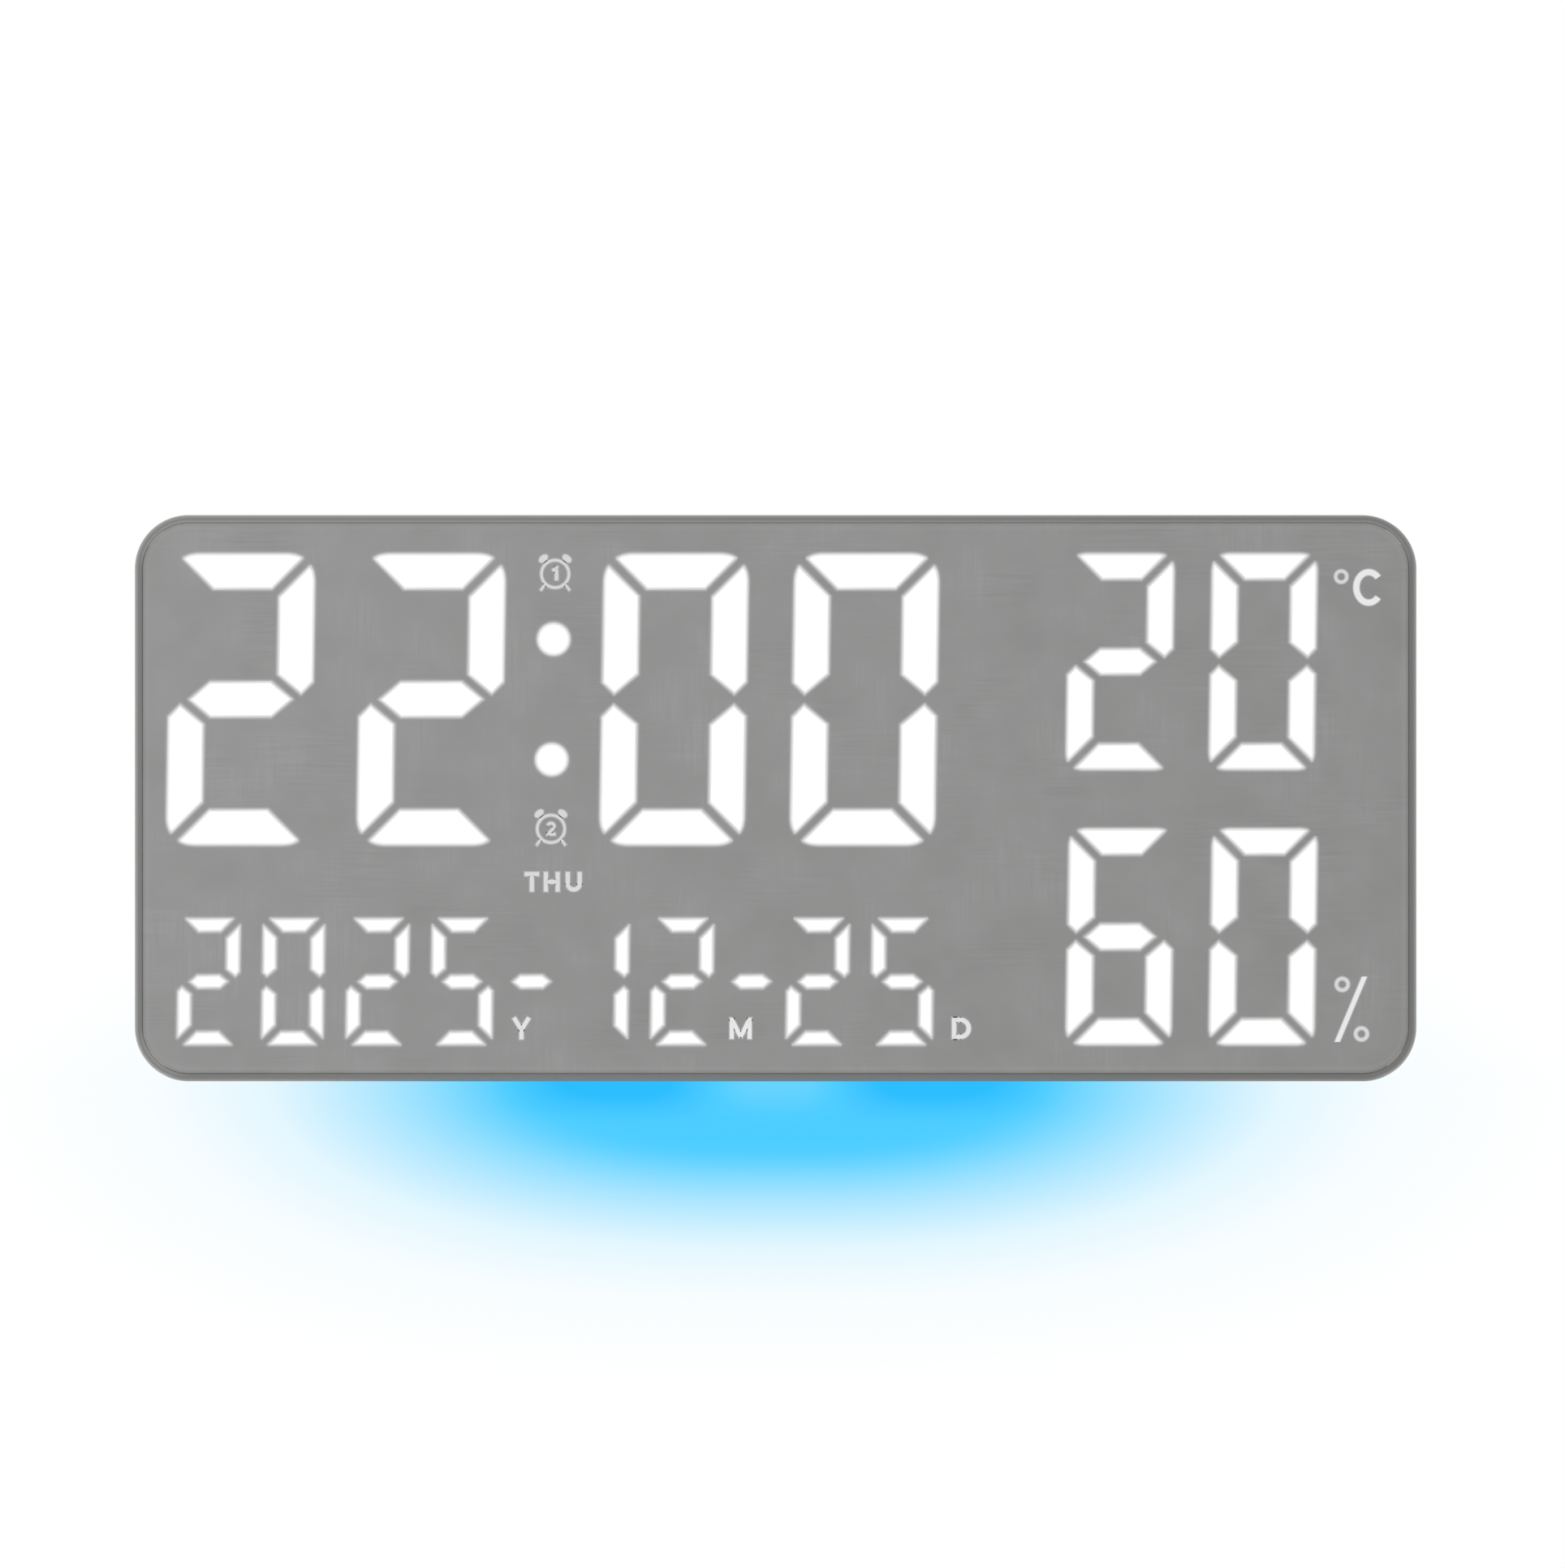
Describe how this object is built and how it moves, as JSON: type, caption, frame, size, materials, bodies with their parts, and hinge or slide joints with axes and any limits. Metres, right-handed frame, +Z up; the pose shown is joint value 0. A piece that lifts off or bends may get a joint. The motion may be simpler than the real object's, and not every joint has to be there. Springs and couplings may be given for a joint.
{
  "type": "digital wall clock",
  "caption": "Flat rectangular wall clock with a lit seven-segment readout of time, date, temperature and humidity, and a night light along its lower edge.",
  "frame": {"origin": "centre of the flat back of the rear cover, on the wall plane", "axes": "+Z up, +X to the viewer's right, +Y into the wall, so the face looks along -Y"},
  "size_m": [0.3802, 0.028, 0.168],
  "materials": {
    "frame_plastic": "satin moulded plastic, dark warm grey",
    "face_plastic": "mid grey dead-front sheet with a faint brushed grain",
    "lit_lens": "white light through a frosted lens",
    "reflector_plastic": "white moulded plastic",
    "night_light": "frosted bar lit blue",
    "cover_plastic": "fine textured plastic, dark grey",
    "dark_plastic": "satin black plastic",
    "board_laminate": "green solder mask on laminate",
    "chip_plastic": "black moulded casing",
    "steel": "bright zinc-plated steel"
  },
  "bodies": {
    "housing": {"front_frame": "frame_plastic", "face_panel": "face_plastic", "time_lens": "lit_lens", "date_lens": "lit_lens", "temperature_lens": "lit_lens", "humidity_lens": "lit_lens", "time_reflector": "reflector_plastic", "date_reflector": "reflector_plastic", "temperature_reflector": "reflector_plastic", "humidity_reflector": "reflector_plastic", "display_board": "board_laminate", "night_light_diffuser": "night_light", "night_light_board": "board_laminate", "night_light_header": "chip_plastic", "rear_cover": "cover_plastic", "cover_screw_1": "steel", "cover_screw_2": "steel", "cover_screw_3": "steel", "cover_screw_4": "steel", "cover_screw_5": "steel", "cover_screw_6": "steel", "hinge_pin_left": "steel", "hinge_pin_right": "steel", "button_board": "board_laminate", "button_board_header": "chip_plastic", "button_board_screw_1": "steel", "button_board_screw_2": "steel", "button_switch_1": "chip_plastic", "button_switch_2": "chip_plastic", "button_switch_3": "chip_plastic", "button_switch_4": "chip_plastic", "button_switch_5": "chip_plastic", "control_board": "board_laminate", "control_board_header": "chip_plastic", "control_board_screw_1": "steel", "control_board_screw_2": "steel", "control_board_screw_3": "steel", "control_board_screw_4": "steel", "microcontroller": "chip_plastic", "display_driver": "chip_plastic", "clock_crystal": "steel", "buzzer": "chip_plastic", "climate_sensor": "reflector_plastic", "cell_holder": "dark_plastic", "backup_cell": "steel", "power_inlet": "steel"},
    "left_leg": {"stand_leg_left": "dark_plastic"},
    "right_leg": {"stand_leg_right": "dark_plastic"},
    "hatch": {"battery_door": "cover_plastic"},
    "first_button": {"button_1": "dark_plastic"},
    "second_button": {"button_2": "dark_plastic"},
    "third_button": {"button_3": "dark_plastic"},
    "fourth_button": {"button_4": "dark_plastic"},
    "fifth_button": {"button_5": "dark_plastic"}
  },
  "joints": [
    {"name": "left_leg_hinge", "type": "hinge", "parent": "housing", "child": "left_leg", "pos_m": [-0.13005, -0.0023, -0.058], "axis": [-1, 0, 0], "range_deg": [0, 119]},
    {"name": "right_leg_hinge", "type": "hinge", "parent": "housing", "child": "right_leg", "pos_m": [0.13005, -0.0023, -0.058], "axis": [-1, 0, 0], "range_deg": [0, 119]},
    {"name": "battery_door_lift", "type": "slide", "parent": "housing", "child": "hatch", "axis": [0, 1, 0], "range_m": [0, 0.03]},
    {"name": "button_1_press", "type": "slide", "parent": "housing", "child": "first_button", "axis": [0, -1, 0], "range_m": [0, 0.0006], "stiffness_N_per_m": 2500},
    {"name": "button_2_press", "type": "slide", "parent": "housing", "child": "second_button", "axis": [0, -1, 0], "range_m": [0, 0.0006], "stiffness_N_per_m": 2500},
    {"name": "button_3_press", "type": "slide", "parent": "housing", "child": "third_button", "axis": [0, -1, 0], "range_m": [0, 0.0006], "stiffness_N_per_m": 2500},
    {"name": "button_4_press", "type": "slide", "parent": "housing", "child": "fourth_button", "axis": [0, -1, 0], "range_m": [0, 0.0006], "stiffness_N_per_m": 2500},
    {"name": "button_5_press", "type": "slide", "parent": "housing", "child": "fifth_button", "axis": [0, -1, 0], "range_m": [0, 0.0006], "stiffness_N_per_m": 2500}
  ]
}
